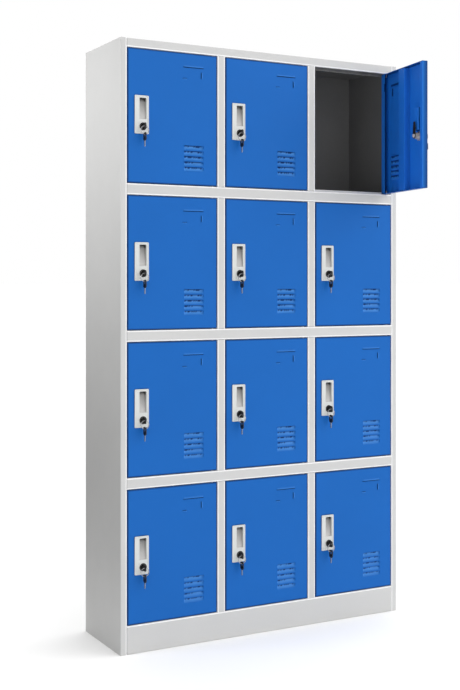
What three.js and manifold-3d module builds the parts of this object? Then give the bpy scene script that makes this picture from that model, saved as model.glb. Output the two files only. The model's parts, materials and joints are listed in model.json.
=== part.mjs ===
// Twelve-door steel locker: three columns of four compartments in a folded-sheet cabinet.
// Millimetres, +Z up, the doors face -Y. The origin is on the floor, at the middle of the
// plinth's foot flange and half-way across the cabinet's width.
import * as THREE from 'three';
import * as BufferGeometryUtils from 'three/addons/utils/BufferGeometryUtils.js';
import Module from 'manifold-3d';

const wasm = await Module();
wasm.setup();

// ---- cabinet ----
const WIDTH = 1000;
const DEPTH = 300;
const HEIGHT = 1850;
const COLUMNS = 3;
const ROWS = 4;
const SHEET = 1;            // steel sheet, a little thicker than the real 0.6 to 0.8
const CLEARANCE = 0.3;      // between pieces that touch
const SIDE_STILE = 21;      // width of the outer front stiles
const MID_STILE = 27;       // width of the stiles between two columns
const TOP_RAIL = 27;        // height of the rail over the top row
const MID_RAIL = 34;        // height of the rails between two rows
const PLINTH_HEIGHT = 86;
const FOOT_FLANGE = 24;     // the plinth's fold along the floor
const RETURN_DEPTH = 26;    // how far a rail or a jamb folds back
const RAIL_LIP = 8;         // upstand and downstand behind each rail
const BACK_FLANGE = 15;     // side panel's fold that holds the back panel
const SHELF_SLOT_END = 150; // partitions are slotted up to here, shelves from here back
const PANEL_FOLD = 26;      // depth of the bottom panel's stiffening folds
const LATCH_LIP = 8;        // width of the lip that the cam turns behind
const LATCH_LIP_Y = 19.5;   // front of that lip, behind the door pan

// ---- doors ----
const DOOR_GAP = 2;
const DOOR_DEPTH = 18;
const PIVOT_INSET = 14;     // hinge axis from the door's hinge edge
const PIVOT_DEPTH = 6;      // hinge axis behind the door's face
const PIN_RADIUS = 3;
const PIN_REACH = 6;        // how far a hinge pin stands out of the door
const PIN_ROOT = 12;        // how far it runs inside the pan
const PIN_HOLE_RADIUS = 3.6;
const HINGE_LIP = 25;       // hinge-side fold across the back of the pan
const FREE_LIP = 18;        // lock-side fold across the back of the pan
const STIFFENER_WIDTH = 42;
const STIFFENER_END_GAP = 3;
const LOUVRE_SLOTS = 5;
const LOUVRE_PITCH = 16.5;
const LOUVRE_LOWEST = 51;   // lowest slot above the door's lower edge
const LOUVRE_WIDTH = 67;
const LOUVRE_FROM_HINGE = 46;
const LOUVRE_SLOT_HEIGHT = 3;
const OPEN_DOOR = { row: 1, column: 3, angle: 82 };

// ---- handle plate, lock and keys ----
const PLATE_WIDTH = 46;
const PLATE_HEIGHT = 116;
const PLATE_THICKNESS = 3;
const PLATE_FROM_EDGE = 21.5;   // plate from the door's free edge
const PLATE_BELOW_TOP = 141;    // plate's top below the door's top
const RECESS_WIDTH = 22;
const RECESS_HEIGHT = 64;
const RECESS_DEPTH = 13;        // behind the plate's back
const RECESS_BELOW_PLATE_TOP = 7;
const RECESS_WALL = 2;
const LOCK_FROM_EDGE = 48.5;    // lock axis from the door's free edge
const LOCK_BELOW_PLATE_TOP = 93.5;
const HOUSING_RADIUS = 11.5;
const HOUSING_BORE = 9.6;
const HOUSING_END = 17;         // housing's back end behind the door's face
const PLUG_RADIUS = 8.4;
const PLUG_PROUD = 1.7;         // plug's face in front of the plate
const CAM_Y = 22;
const CAM_THICKNESS = 2;
const CAM_WIDTH = 14;
const CAM_LENGTH = 46;          // from the lock axis to the tip
const KEY_THICKNESS = 2.4;
const KEY_NECK = 1;
const KEY_NECK_HEIGHT = 8;
const BOW_LENGTH = 20;
const BOW_HEIGHT = 21;
const BOW_HOLE_RADIUS = 5;
const BOW_HOLE_INSET = 9;       // hole's centre from the bow's outer edge
const RING_RADIUS = 12.5;
const RING_WIRE = 1.8;
const RING_SEGMENTS = 8;       // on each half of the ring
const BLADE_LENGTH = 24;
const BLADE_WIDTH = 7;
const ROUND_SEGMENTS = 8;

// ---- worked out from the dimensions above ----
const doorWidth = (WIDTH - 2 * SIDE_STILE - (COLUMNS - 1) * MID_STILE - 2 * COLUMNS * DOOR_GAP) / COLUMNS;
const doorHeight =
  (HEIGHT - TOP_RAIL - (ROWS - 1) * MID_RAIL - PLINTH_HEIGHT - 2 * ROWS * DOOR_GAP) / ROWS;
const half = WIDTH / 2;
const jamb = half - SIDE_STILE;
const columnPitch = doorWidth + 2 * DOOR_GAP + MID_STILE;
const rowPitch = doorHeight + 2 * DOOR_GAP + MID_RAIL;
const backPanelY = DEPTH - SHEET - CLEARANCE - SHEET;
const innerDepth = backPanelY - CLEARANCE;
const innerHalf = half - SHEET - CLEARANCE;
const railHalf = jamb - CLEARANCE;
const innerTop = HEIGHT - SHEET - CLEARANCE;
const doorLeft = (column) => -jamb + DOOR_GAP + (column - 1) * columnPitch;
const doorBottom = (row) => PLINTH_HEIGHT + DOOR_GAP + (ROWS - row) * rowPitch;
const stileCentre = (n) => doorLeft(n) + doorWidth + DOOR_GAP + MID_STILE / 2;
const railBottom = (n) => doorBottom(n) - DOOR_GAP - MID_RAIL;
const plateCentre = PLATE_FROM_EDGE + PLATE_WIDTH / 2;
const plateTop = doorHeight - PLATE_BELOW_TOP;
const lockZ = plateTop - LOCK_BELOW_PLATE_TOP;
const plateFront = -CLEARANCE - PLATE_THICKNESS;
const plugFront = plateFront - PLUG_PROUD;
const bowFront = plugFront - KEY_NECK - BOW_LENGTH;
const ringY = bowFront + BOW_HOLE_INSET;

const bodyPaint = new THREE.MeshStandardMaterial({ color: 0xd3d4d4, roughness: 0.5, metalness: 0.1 });
const innerPaint = new THREE.MeshStandardMaterial({ color: 0x55565a, roughness: 0.6, metalness: 0.1 });
const doorPaint = new THREE.MeshStandardMaterial({ color: 0x2769bf, roughness: 0.45, metalness: 0.1 });
const platePlastic = new THREE.MeshStandardMaterial({ color: 0xe4e6e6, roughness: 0.4, metalness: 0 });
const lockMetal = new THREE.MeshStandardMaterial({ color: 0xb8b8b8, roughness: 0.3, metalness: 1 });
const keyPlastic = new THREE.MeshStandardMaterial({ color: 0x141414, roughness: 0.4, metalness: 0 });

// ---- solids ----
function solid(geometry) {
  const bare = geometry.index ? geometry.toNonIndexed() : geometry.clone();
  bare.deleteAttribute('normal');
  bare.deleteAttribute('uv');
  const merged = BufferGeometryUtils.mergeVertices(bare, 1e-4);
  return new wasm.Manifold(new wasm.Mesh({
    numProp: 3,
    vertProperties: new Float32Array(merged.attributes.position.array),
    triVerts: new Uint32Array(merged.index.array),
  }));
}

function box(x0, x1, y0, y1, z0, z1) {
  const geometry = new THREE.BoxGeometry(x1 - x0, y1 - y0, z1 - z0);
  geometry.translate((x0 + x1) / 2, (y0 + y1) / 2, (z0 + z1) / 2);
  return solid(geometry);
}

// A round bar from y0 to y1, or from z0 to z1, around the point given.
function rodAlongY(x, z, radius, y0, y1) {
  const geometry = new THREE.CylinderGeometry(radius, radius, y1 - y0, ROUND_SEGMENTS);
  geometry.translate(x, (y0 + y1) / 2, z);
  return solid(geometry);
}

function rodAlongZ(x, y, radius, z0, z1) {
  const geometry = new THREE.CylinderGeometry(radius, radius, z1 - z0, ROUND_SEGMENTS);
  geometry.rotateX(Math.PI / 2);
  geometry.translate(x, y, (z0 + z1) / 2);
  return solid(geometry);
}

function union(solids) {
  return solids.reduce((sum, next) => sum.add(next));
}

function cut(body, tools) {
  return tools.reduce((rest, tool) => rest.subtract(tool), body);
}

function mesh(name, shape, material) {
  const result = shape.getMesh();
  const geometry = new THREE.BufferGeometry();
  geometry.setAttribute('position', new THREE.BufferAttribute(result.vertProperties, 3));
  geometry.setIndex(new THREE.BufferAttribute(result.triVerts, 1));
  geometry.computeVertexNormals();
  const piece = new THREE.Mesh(geometry, material);
  piece.name = name;
  return piece;
}

// ---- cabinet pieces: y = 0 is the front plane, y = DEPTH the back ----
const rowNumbers = Array.from({ length: ROWS }, (_, i) => i + 1);
const columnNumbers = Array.from({ length: COLUMNS }, (_, i) => i + 1);
const stileNumbers = columnNumbers.slice(0, -1);
const shelfNumbers = rowNumbers.slice(0, -1);

// The lip behind the free edge of each door in one column, from rail to rail.
function latchLips(x0, x1) {
  return rowNumbers.map((row) => box(
    x0, x1, LATCH_LIP_Y, LATCH_LIP_Y + SHEET,
    doorBottom(row) - DOOR_GAP + RAIL_LIP + CLEARANCE,
    doorBottom(row) + doorHeight + DOOR_GAP - RAIL_LIP - CLEARANCE,
  ));
}

// side is -1 for the left panel, which has the latch lips, and 1 for the right one.
function sidePanel(side) {
  const across = (a, b, ...rest) => box(Math.min(side * a, side * b), Math.max(side * a, side * b), ...rest);
  const pieces = [
    across(half - SHEET, half, 0, DEPTH, 0, HEIGHT),
    across(jamb, half, 0, SHEET, 0, HEIGHT),
    across(jamb, jamb + SHEET, 0, RETURN_DEPTH, 0, HEIGHT),
    across(half - BACK_FLANGE, half, DEPTH - SHEET, DEPTH, 0, HEIGHT),
    across(half - BACK_FLANGE, half, 0, DEPTH, 0, SHEET),
  ];
  if (side < 0) pieces.push(...latchLips(-jamb - SHEET, -jamb + LATCH_LIP));
  const topPanelRoom = across(
    0, half - SHEET - CLEARANCE / 2, SHEET + CLEARANCE / 2, DEPTH - SHEET, innerTop, HEIGHT + SHEET);
  return cut(union(pieces), [topPanelRoom]);
}

function backPanel() {
  return box(-innerHalf, innerHalf, backPanelY, backPanelY + SHEET, SHEET + CLEARANCE, innerTop);
}

// Holes in a rail's fold for the hinge pins of every column.
function pinHoles(z) {
  return columnNumbers.map((column) => rodAlongZ(
    doorLeft(column) + doorWidth - PIVOT_INSET, PIVOT_DEPTH, PIN_HOLE_RADIUS, z - 2 * SHEET, z + 2 * SHEET));
}

function topPanel() {
  const lower = HEIGHT - TOP_RAIL;
  const pieces = [
    box(-innerHalf, innerHalf, SHEET + CLEARANCE, DEPTH - SHEET - CLEARANCE, HEIGHT - SHEET, HEIGHT),
    box(-railHalf, railHalf, 0, 2 * SHEET, HEIGHT - SHEET, HEIGHT),
    box(-railHalf, railHalf, 0, SHEET, lower, HEIGHT),
    box(-railHalf, railHalf, 0, RETURN_DEPTH, lower, lower + SHEET),
    box(-railHalf, railHalf, RETURN_DEPTH - SHEET, RETURN_DEPTH, lower - RAIL_LIP, lower + SHEET),
  ];
  return cut(union(pieces), pinHoles(lower));
}

function plinth() {
  const pieces = [
    box(-railHalf, railHalf, 0, SHEET, 0, PLINTH_HEIGHT),
    box(-railHalf, railHalf, 0, RETURN_DEPTH - SHEET - CLEARANCE, PLINTH_HEIGHT - SHEET, PLINTH_HEIGHT),
    box(-railHalf, railHalf, 0, FOOT_FLANGE, 0, SHEET),
  ];
  return cut(union(pieces), pinHoles(PLINTH_HEIGHT));
}

function bottomPanel() {
  const top = PLINTH_HEIGHT + RAIL_LIP;
  const behindJamb = RETURN_DEPTH + CLEARANCE;
  return union([
    box(-railHalf, railHalf, RETURN_DEPTH - SHEET, RETURN_DEPTH, top - PANEL_FOLD, top),
    box(-railHalf, railHalf, RETURN_DEPTH - SHEET, behindJamb + SHEET, top - SHEET, top),
    box(-innerHalf, innerHalf, behindJamb, innerDepth, top - SHEET, top),
    box(-innerHalf, innerHalf, innerDepth - SHEET, innerDepth, top - PANEL_FOLD, top),
  ]);
}

// Shelf n lies under row n. Slots from its back edge let the partitions cross it.
function shelf(n) {
  const lower = railBottom(n);
  const upper = lower + MID_RAIL;
  const floor = upper + RAIL_LIP;
  const behindJamb = RETURN_DEPTH + CLEARANCE;
  const pieces = [
    box(-railHalf, railHalf, 0, SHEET, lower, upper),
    box(-railHalf, railHalf, 0, RETURN_DEPTH, upper - SHEET, upper),
    box(-railHalf, railHalf, RETURN_DEPTH - SHEET, RETURN_DEPTH, upper - SHEET, floor),
    box(-railHalf, railHalf, 0, RETURN_DEPTH, lower, lower + SHEET),
    box(-railHalf, railHalf, RETURN_DEPTH - SHEET, RETURN_DEPTH, lower - RAIL_LIP, lower + SHEET),
    box(-railHalf, railHalf, RETURN_DEPTH - SHEET, behindJamb + SHEET, floor - SHEET, floor),
    box(-innerHalf, innerHalf, behindJamb, innerDepth, floor - SHEET, floor),
  ];
  const slots = stileNumbers.map((k) => box(
    partitionX(k) - CLEARANCE, partitionX(k) + SHEET + CLEARANCE,
    SHELF_SLOT_END, DEPTH, floor - 2 * SHEET, floor + SHEET));
  return cut(union(pieces), [...pinHoles(lower), ...pinHoles(upper - SHEET), ...slots]);
}

// Left face of partition k's sheet, which is also its stile's left edge.
function partitionX(k) {
  return stileCentre(k) - MID_STILE / 2;
}

// One folded sheet: partition, stile face, jamb and the latch lips of the next column. It stands
// between the rails, and its front half is slotted for the shelves.
function partition(k) {
  const left = partitionX(k);
  const right = left + MID_STILE;
  const stileDepth = RETURN_DEPTH - SHEET - CLEARANCE;
  const floor = PLINTH_HEIGHT + RAIL_LIP + CLEARANCE;
  const stileBottom = PLINTH_HEIGHT + CLEARANCE;
  const stileTop = HEIGHT - TOP_RAIL - CLEARANCE;
  const pieces = [
    box(left, left + SHEET, RETURN_DEPTH + CLEARANCE, innerDepth, floor, innerTop),
    box(left, left + SHEET, 0, innerDepth, floor, stileTop - RAIL_LIP),
    box(left, left + SHEET, 0, stileDepth, stileBottom, stileTop),
    box(left, right, 0, SHEET, stileBottom, stileTop),
    box(right - SHEET, right, 0, stileDepth, stileBottom, stileTop),
    ...latchLips(right - SHEET, right + LATCH_LIP),
  ];
  const beyond = LATCH_LIP + SHEET;
  const railRooms = shelfNumbers.flatMap((n) => {
    const lower = railBottom(n);
    const upper = lower + MID_RAIL;
    const shelfTop = upper + RAIL_LIP;
    return [
      box(left - SHEET, right + beyond, -SHEET, RETURN_DEPTH + CLEARANCE,
        lower - CLEARANCE, upper + CLEARANCE),
      box(left - SHEET, right + beyond, stileDepth, RETURN_DEPTH + CLEARANCE,
        lower - RAIL_LIP - CLEARANCE, shelfTop + CLEARANCE),
      box(left - SHEET, left + 2 * SHEET, stileDepth, SHELF_SLOT_END + CLEARANCE,
        shelfTop - SHEET - CLEARANCE, shelfTop + CLEARANCE),
    ];
  });
  return cut(union(pieces), railRooms);
}

// ---- door pieces, drawn closed: x = 0, y = 0 is the hinge axis, z = 0 the door's lower edge ----
const faceY = -PIVOT_DEPTH;
const freeEdge = PIVOT_INSET - doorWidth;
const lockX = freeEdge + LOCK_FROM_EDGE;

function doorPan() {
  const back = faceY + DOOR_DEPTH;
  const middle = freeEdge + doorWidth / 2;
  const crown = [middle - STIFFENER_WIDTH / 2, middle + STIFFENER_WIDTH / 2];
  const channel = (x0, x1, y0) => box(x0, x1, y0, back, STIFFENER_END_GAP, doorHeight - STIFFENER_END_GAP);
  const pieces = [
    box(freeEdge, PIVOT_INSET, faceY, faceY + SHEET, 0, doorHeight),
    box(freeEdge, PIVOT_INSET, faceY, back, 0, SHEET),
    box(freeEdge, PIVOT_INSET, faceY, back, doorHeight - SHEET, doorHeight),
    box(freeEdge, freeEdge + SHEET, faceY, back, 0, doorHeight),
    box(PIVOT_INSET - SHEET, PIVOT_INSET, faceY, back, 0, doorHeight),
    box(freeEdge, freeEdge + FREE_LIP, back - SHEET, back, 0, doorHeight),
    box(PIVOT_INSET - HINGE_LIP, PIVOT_INSET, back - SHEET, back, 0, doorHeight),
    channel(crown[0], crown[1], back - SHEET),
    channel(crown[0], crown[0] + SHEET, faceY),
    channel(crown[1] - SHEET, crown[1], faceY),
    rodAlongZ(0, 0, PIN_RADIUS, -PIN_REACH, PIN_ROOT),
    rodAlongZ(0, 0, PIN_RADIUS, doorHeight - PIN_ROOT, doorHeight + PIN_REACH),
  ];
  const louvres = Array.from({ length: LOUVRE_SLOTS }, (_, i) => {
    const right = PIVOT_INSET - LOUVRE_FROM_HINGE;
    const z = LOUVRE_LOWEST + i * LOUVRE_PITCH;
    return box(right - LOUVRE_WIDTH, right, faceY - SHEET, faceY + 2 * SHEET, z, z + LOUVRE_SLOT_HEIGHT);
  });
  const room = CLEARANCE + RECESS_WALL;
  const recess = recessBox(room, faceY - SHEET, faceY + 2 * SHEET);
  const housing = rodAlongY(lockX, lockZ, HOUSING_RADIUS + 2 * CLEARANCE, faceY - SHEET, faceY + 2 * SHEET);
  return cut(union(pieces), [...louvres, recess, housing]);
}

// The finger recess, grown by a margin on its four sides.
function recessBox(margin, y0, y1) {
  const top = plateTop - RECESS_BELOW_PLATE_TOP;
  return box(lockX - RECESS_WIDTH / 2 - margin, lockX + RECESS_WIDTH / 2 + margin, y0, y1,
    top - RECESS_HEIGHT - margin, top + margin);
}

function handlePlate() {
  const centre = freeEdge + plateCentre;
  const front = faceY + plateFront;
  const plateBack = faceY - CLEARANCE;
  const recessBack = faceY + RECESS_DEPTH;
  const body = union([
    box(centre - PLATE_WIDTH / 2, centre + PLATE_WIDTH / 2, front, plateBack, plateTop - PLATE_HEIGHT, plateTop),
    recessBox(RECESS_WALL, front + SHEET, recessBack),
    rodAlongY(lockX, lockZ, HOUSING_RADIUS, front + SHEET, faceY + HOUSING_END),
  ]);
  return cut(body, [
    recessBox(0, front - SHEET, recessBack - RECESS_WALL),
    rodAlongY(lockX, lockZ, HOUSING_BORE, front - SHEET, faceY + HOUSING_END + SHEET),
  ]);
}

// ---- lock pieces: x = 0, z = 0 is the lock axis, y = 0 the door's face ----
// A key's bow: a plate across X with a hole for the ring, y0 to y1 by z0 to z1.
function bow(y0, y1, z0, z1) {
  return box(-KEY_THICKNESS / 2, KEY_THICKNESS / 2, y0, y1, z0, z1);
}

function holeAcross(y, z, radius) {
  const geometry = new THREE.CylinderGeometry(radius, radius, 4 * KEY_THICKNESS, ROUND_SEGMENTS);
  geometry.rotateZ(Math.PI / 2);
  geometry.translate(0, y, z);
  return solid(geometry);
}

// Plug, cam and the key in the plug, with the cam pointing up: unlocked.
function lock() {
  const body = union([
    rodAlongY(0, 0, PLUG_RADIUS, plugFront, CAM_Y + CAM_THICKNESS),
    box(-CAM_WIDTH / 2, CAM_WIDTH / 2, CAM_Y, CAM_Y + CAM_THICKNESS, -CAM_WIDTH / 2, CAM_LENGTH),
    bow(plugFront - KEY_NECK - SHEET, plugFront + SHEET, -KEY_NECK_HEIGHT / 2, KEY_NECK_HEIGHT / 2),
    bow(bowFront, bowFront + BOW_LENGTH, -BOW_HEIGHT / 2, BOW_HEIGHT / 2),
  ]);
  return cut(body, [holeAcross(ringY, 0, BOW_HOLE_RADIUS)]);
}

// The split ring through the bow's hole, and the spare key that hangs from the ring's lowest point.
function ringAndSpareKey() {
  const ring = new THREE.Shape();
  ring.absarc(0, 0, RING_RADIUS + RING_WIRE / 2, 0, 2 * Math.PI);
  const inside = new THREE.Path();
  inside.absarc(0, 0, RING_RADIUS - RING_WIRE / 2, 0, 2 * Math.PI);
  ring.holes.push(inside);
  const flat = new THREE.ExtrudeGeometry(ring, {
    depth: RING_WIRE, bevelEnabled: false, curveSegments: RING_SEGMENTS });
  flat.rotateX(Math.PI / 2);
  flat.translate(0, ringY + RING_WIRE / 2, -RING_RADIUS);
  const hang = -2 * RING_RADIUS;
  const bowTop = hang + BOW_HOLE_INSET - BOW_HOLE_RADIUS / 2;
  const bowBottom = bowTop - BOW_LENGTH;
  return union([
    solid(flat),
    bow(ringY - BOW_HEIGHT / 2, ringY + BOW_HEIGHT / 2, bowBottom, bowTop - BOW_HOLE_RADIUS),
    bow(ringY - BLADE_WIDTH / 2, ringY + BLADE_WIDTH / 2, bowBottom - BLADE_LENGTH, bowBottom + SHEET),
  ]);
}

// ---- assembly ----
function doorGroup(row, column) {
  const suffix = `r${row}c${column}`;
  const group = new THREE.Group();
  group.position.set(doorLeft(column) + doorWidth - PIVOT_INSET, PIVOT_DEPTH, doorBottom(row));
  if (row === OPEN_DOOR.row && column === OPEN_DOOR.column) {
    group.rotation.z = THREE.MathUtils.degToRad(OPEN_DOOR.angle);
  }
  const lockGroup = new THREE.Group();
  lockGroup.position.set(lockX, faceY, lockZ);
  lockGroup.add(
    mesh(`lock_${suffix}`, lock(), lockMetal),
    mesh(`spare_key_${suffix}`, ringAndSpareKey(), keyPlastic),
  );
  group.add(
    mesh(`door_${suffix}`, doorPan(), doorPaint),
    mesh(`handle_plate_${suffix}`, handlePlate(), platePlastic),
    lockGroup,
  );
  return group;
}

const cabinet = new THREE.Group();
cabinet.position.y = -FOOT_FLANGE / 2;
cabinet.add(
  mesh('left_side_panel', sidePanel(-1), bodyPaint),
  mesh('right_side_panel', sidePanel(1), bodyPaint),
  mesh('back_panel', backPanel(), bodyPaint),
  mesh('top_panel', topPanel(), bodyPaint),
  mesh('plinth', plinth(), bodyPaint),
  mesh('bottom_panel', bottomPanel(), innerPaint),
);
for (const n of shelfNumbers) cabinet.add(mesh(`shelf_${n}`, shelf(n), bodyPaint));
for (const k of stileNumbers) cabinet.add(mesh(`partition_${k}`, partition(k), bodyPaint));
for (const row of rowNumbers) {
  for (const column of columnNumbers) cabinet.add(doorGroup(row, column));
}

export default cabinet;
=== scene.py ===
"""Looks of the twelve-door steel locker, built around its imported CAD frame.

Pieces are drawn in millimetres, the cabinet's from its front plane and each door's from its own
hinge axis, and are brought to metres in the row frame when they are placed.
"""
import json
from math import asin, atan2, copysign, cos, hypot, pi, radians, sin, tan, tau

import bmesh
import bpy
from mathutils import Matrix, Vector
from mathutils.geometry import delaunay_2d_cdt


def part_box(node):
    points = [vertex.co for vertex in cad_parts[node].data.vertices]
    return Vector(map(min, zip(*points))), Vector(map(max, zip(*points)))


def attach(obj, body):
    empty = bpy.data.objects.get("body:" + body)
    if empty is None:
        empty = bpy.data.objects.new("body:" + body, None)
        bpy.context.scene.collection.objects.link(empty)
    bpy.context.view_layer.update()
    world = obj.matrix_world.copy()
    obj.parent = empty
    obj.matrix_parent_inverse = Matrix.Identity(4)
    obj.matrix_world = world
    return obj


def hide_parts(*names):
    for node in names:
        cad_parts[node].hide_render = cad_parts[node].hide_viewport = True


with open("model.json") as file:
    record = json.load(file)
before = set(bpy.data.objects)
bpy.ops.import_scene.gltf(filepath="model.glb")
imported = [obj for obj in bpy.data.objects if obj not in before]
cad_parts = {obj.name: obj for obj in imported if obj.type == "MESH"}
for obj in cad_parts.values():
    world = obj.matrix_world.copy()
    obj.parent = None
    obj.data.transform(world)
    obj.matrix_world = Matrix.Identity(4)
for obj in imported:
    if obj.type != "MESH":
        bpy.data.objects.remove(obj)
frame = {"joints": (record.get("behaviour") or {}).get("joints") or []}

MM = 0.001
scene = bpy.context.scene
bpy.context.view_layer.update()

# ---- sizes in millimetres, from the frame where it holds them ----
SHEET = 1.0
CLEARANCE = 0.3
BEND = 3.0  # outer radius of the cabinet's folds
INNER_BEND = 1.2  # radius where a fold turns the other way
HIGHLIGHT_STRIP = 2.0  # beside a bend with a painted highlight
RETURN_DEPTH = 26
LIP_Y = RETURN_DEPTH - SHEET  # where the lips behind the rails face forward
STEP = SHEET + CLEARANCE + BEND  # from a lip to where its sheet widens behind the jambs
RAIL_LIP = 8
SIDE_STILE, MID_STILE, TOP_RAIL = 21, 27, 27
BACK_FLANGE = 15
FOOT_INSET = 2  # the foot flange stops this far from the front and the back
PLINTH_FOOT = 24
BOTTOM_INSET = 4  # from the back panel to the bottom's rear fold
ON_AXIS = 1e-6  # a lathe profile's radius where it meets its axis
SHELF_SLOT_END = 150
PANEL_FOLD = 26
LATCH_LIP, LATCH_LIP_Y = 8, 19.5
DOOR_DEPTH, DOOR_SHEET, DOOR_BEND = 18, 0.9, 1.8
PIVOT_INSET, PIVOT_DEPTH = 14, 6
PIN_REACH, PIN_INSIDE, PIN_HOLE = 6, 10, 3.6
ROWS, COLUMNS = (1, 2, 3, 4), (1, 2, 3)


def millimetres(node):
    low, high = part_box(node)
    return low / MM, high / MM


side_low, side_high = millimetres("left_side_panel")
FRONT_Y = side_low.y  # the front plane, in the row frame
HALF = -side_low.x
DEPTH = side_high.y - side_low.y
HEIGHT = side_high.z
PLINTH_TOP = millimetres("plinth")[1].z
BACK_Y = millimetres("back_panel")[0].y - FRONT_Y
INNER_DEPTH = BACK_Y - CLEARANCE
INNER_HALF = HALF - SHEET - CLEARANCE
JAMB = HALF - SIDE_STILE
RAIL_HALF = JAMB - CLEARANCE
door_low, door_high = millimetres("door_r4c1")
DOOR_WIDTH = door_high.x - door_low.x
DOOR_HEIGHT = door_high.z - door_low.z - 2 * PIN_REACH
FACE_Y = -PIVOT_DEPTH
BACK_OF_PAN = FACE_Y + DOOR_DEPTH
FREE_EDGE = PIVOT_INSET - DOOR_WIDTH
partition_x = [millimetres(f"partition_{k}")[0].x for k in (1, 2)]
shelf_levels = [(millimetres(f"shelf_{n}")[0].z + RAIL_LIP, millimetres(f"shelf_{n}")[1].z - RAIL_LIP)
                for n in (1, 2, 3)]  # lower and upper face of each rail
hinge_x = [millimetres(f"door_r4c{c}")[1].x - PIVOT_INSET for c in COLUMNS]

joints = {j["name"]: j for j in frame["joints"]}


# ---- building meshes ----
class Build:
    """Gathers faces; points that meet are welded when the mesh is made.

    The wear and highlight mark is 1 on the outside of a fold, where a coat of paint wears first and where a
    painted highlight goes, and 0 on the flat."""

    def __init__(self):
        self.points, self.faces, self.wear_and_highlight = [], [], []

    def add(self, points, faces, wear_and_highlight=0.0):
        first = len(self.points)
        self.points += [Vector(p) for p in points]
        self.faces += [[first + i for i in face] for face in faces]
        self.wear_and_highlight += list(wear_and_highlight) if hasattr(wear_and_highlight, "__len__") else [wear_and_highlight] * len(points)

    def loft(self, loops, wear_and_highlight=None, close=True):
        """Strips of faces between loops that have the same number of points.

        The wear and highlight mark is a number or a list of numbers for each loop."""
        count = len(loops[0])
        spans = count if close else count - 1
        points = [p for loop in loops for p in loop]
        faces = [[k * count + i, k * count + (i + 1) % count,
                  (k + 1) * count + (i + 1) % count, (k + 1) * count + i]
                 for k in range(len(loops) - 1) for i in range(spans)]
        marks = [mark for worn_and_lit in (wear_and_highlight or [0.0] * len(loops))
                 for mark in (worn_and_lit if hasattr(worn_and_lit, "__len__") else [worn_and_lit] * count)]
        self.add(points, faces, marks)

    def capped(self, loops):
        """A loft with a face across each end."""
        self.loft(loops)
        for end in (loops[0], loops[-1]):
            self.add(end, [list(range(len(end)))])

    def flat(self, outline, holes, place):
        """A flat area inside outline and outside the holes, put in space by place(a, b)."""
        points, faces = fill(outline, holes)
        self.add([place(*p) for p in points], faces)

    def upright(self, outline, holes, y):
        """A flat area of (x, z) points at a depth y."""
        self.flat(outline, holes, lambda x, z: (x, y, z))

    def mesh(self, name, outward=None):
        """The welded mesh. outward is a direction that the face furthest along it looks to."""
        bm = bmesh.new()
        layer = bm.verts.layers.float.new("wear_and_highlight")
        verts = []
        for point, mark in zip(self.points, self.wear_and_highlight):
            vert = bm.verts.new(point)
            vert[layer] = mark
            verts.append(vert)
        for face in self.faces:
            bm.faces.new([verts[i] for i in face])
        bmesh.ops.remove_doubles(bm, verts=bm.verts, dist=1e-3)
        bmesh.ops.dissolve_degenerate(bm, edges=bm.edges, dist=1e-4)
        bmesh.ops.recalc_face_normals(bm, faces=bm.faces)
        if outward is not None:
            way = Vector(outward)
            furthest = max(bm.faces, key=lambda face: (round(face.calc_center_median().dot(way), 2),
                                                       face.calc_area()))
            if furthest.normal.dot(way) < 0:
                bmesh.ops.reverse_faces(bm, faces=bm.faces)
        mesh = bpy.data.meshes.new(name)
        bm.to_mesh(mesh)
        bm.free()
        return mesh


def fill(outline, holes):
    """Triangles that cover outline and leave the holes open."""
    loops = [outline, *holes]
    points, edges = [], []
    for loop in loops:
        first = len(points)
        points += [Vector(p) for p in loop]
        edges += [(first + i, first + (i + 1) % len(loop)) for i in range(len(loop))]
    verts, _, faces, *_ = delaunay_2d_cdt(points, edges, [], 0, 1e-4)

    def inside(p, loop):
        odd = False
        for i in range(len(loop)):
            (ax, ay), (bx, by) = loop[i - 1][:2], loop[i][:2]
            if (ay > p.y) != (by > p.y) and p.x < (bx - ax) * (p.y - ay) / (by - ay) + ax:
                odd = not odd
        return odd

    kept = []
    for face in faces:
        centre = sum((verts[i] for i in face), Vector((0, 0))) / len(face)
        if inside(centre, outline) and not any(inside(centre, hole) for hole in holes):
            kept.append(face)
    return verts, kept


def added(name, data):
    """A new object in the scene."""
    made = bpy.data.objects.new(name, data)
    scene.collection.objects.link(made)
    return made


def applied(mesh, *modifiers):
    """The mesh as its modifiers leave it; each one is a kind and its settings."""
    holder = added("work", mesh)
    for kind, settings in modifiers:
        modifier = holder.modifiers.new(kind.lower(), kind)
        for key, value in settings.items():
            setattr(modifier, key, value)
    graph = bpy.context.evaluated_depsgraph_get()
    result = bpy.data.meshes.new_from_object(holder.evaluated_get(graph), depsgraph=graph)
    bpy.data.objects.remove(holder)
    return result


def shaded(mesh, smooth_angle=35):
    """Smooth across the soft edges, weighted so that flat areas stay flat."""
    mesh.shade_smooth()
    mesh.set_sharp_from_angle(angle=radians(smooth_angle))
    return applied(mesh, ("WEIGHTED_NORMAL", {"keep_sharp": True}))


def finished(mesh, thickness=0.0, bevel=0.0, smooth_angle=35):
    """The mesh with its sheet thickness, its bevels and its shading."""
    modifiers = []
    if thickness:
        modifiers.append(("SOLIDIFY", {"thickness": thickness, "offset": -1, "use_even_offset": True}))
    if bevel:
        modifiers.append(("BEVEL", {"width": bevel, "segments": 2, "limit_method": "ANGLE",
                                    "angle_limit": radians(40)}))
    return shaded(applied(mesh, *modifiers), smooth_angle)


def joined(*meshes):
    """One mesh out of several, which keep their own closed shells."""
    bm = bmesh.new()
    for mesh in meshes:
        bm.from_mesh(mesh)
    result = bpy.data.meshes.new("joined")
    bm.to_mesh(result)
    bm.free()
    return shaded(result)


def clamp(value):
    return max(0.0, min(1.0, value))


def lined(mesh, where):
    """Material 1 on the faces where where(centre, normal) is true."""
    for face in mesh.polygons:
        face.material_index = int(where(face.center, face.normal))
    return mesh


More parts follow.
